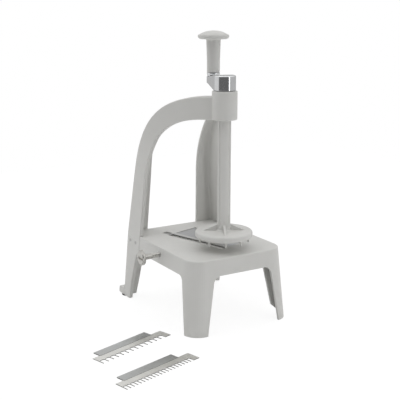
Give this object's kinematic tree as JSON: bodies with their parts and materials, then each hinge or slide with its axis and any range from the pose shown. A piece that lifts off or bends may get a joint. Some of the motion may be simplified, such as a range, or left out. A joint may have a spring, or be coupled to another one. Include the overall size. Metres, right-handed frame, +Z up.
{
  "type": "vegetable spiralizer",
  "caption": "Upright hand-cranked vegetable spiralizer: stool-like table with a slanted blade, double arch with a collar, grooved pusher with a toothed disc, crank, knob and two comb blades.",
  "frame": {"origin": "middle of the whole footprint, with the two loose comb blades, on the surface that the feet stand on", "axes": "+Z up along the spindle, +X to the right of the user, +Y from the front legs to the rear legs"},
  "size_m": [0.2647, 0.2652, 0.3455],
  "materials": {
    "white_plastic": "satin moulded plastic",
    "black_rubber": "matt",
    "blade_steel": "ground and brushed",
    "screw_steel": "plated",
    "chrome": "polished"
  },
  "bodies": {
    "base": {"table": "white_plastic", "frame": "white_plastic", "frame_screws": "screw_steel", "foot_left": "black_rubber", "foot_right": "black_rubber", "straight_blade": "blade_steel", "blade_screws": "screw_steel", "screw_insert": "screw_steel"},
    "bush": {"collar_bush": "white_plastic"},
    "spindle": {"pusher": "white_plastic", "core_rod": "screw_steel", "cross_pin": "white_plastic", "crank": "chrome", "crank_screw": "screw_steel", "knob_ring": "chrome", "knob_axle": "screw_steel"},
    "grip": {"knob": "white_plastic"},
    "clamp": {"clamp_pad": "screw_steel"},
    "screw": {"thumb_screw": "chrome"},
    "coarse_blade": {"comb_coarse": "blade_steel"},
    "fine_blade": {"comb_fine": "blade_steel"}
  },
  "joints": [
    {"name": "crank_spin", "type": "hinge", "parent": "base", "child": "bush", "pos_m": [0.06153, -0.01626, 0.262], "axis": [0, 0, 1], "continuous": true},
    {"name": "pusher_slide", "type": "slide", "parent": "bush", "child": "spindle", "axis": [0, 0, 1], "range_m": [0, 0.12]},
    {"name": "knob_turn", "type": "hinge", "parent": "spindle", "child": "grip", "pos_m": [0.08136, 0.04037, 0.31], "axis": [0, 0, 1], "continuous": true},
    {"name": "clamp_slide", "type": "slide", "parent": "base", "child": "clamp", "axis": [1, 0, 0], "range_m": [0, 0.008]},
    {"name": "thumb_turn", "type": "hinge", "parent": "clamp", "child": "screw", "pos_m": [-0.00407, 0.02734, 0.0796], "axis": [1, 0, 0], "range_deg": [0, 2305]},
    {"name": "coarse_lift", "type": "slide", "parent": "base", "child": "coarse_blade", "axis": [0, 0, 1], "range_m": [0, 0.1]},
    {"name": "fine_lift", "type": "slide", "parent": "base", "child": "fine_blade", "axis": [0, 0, 1], "range_m": [0, 0.1]}
  ],
  "couplings": [
    {"joint": "thumb_turn", "follows": "clamp_slide", "rad_per_m": 5026.5}
  ]
}
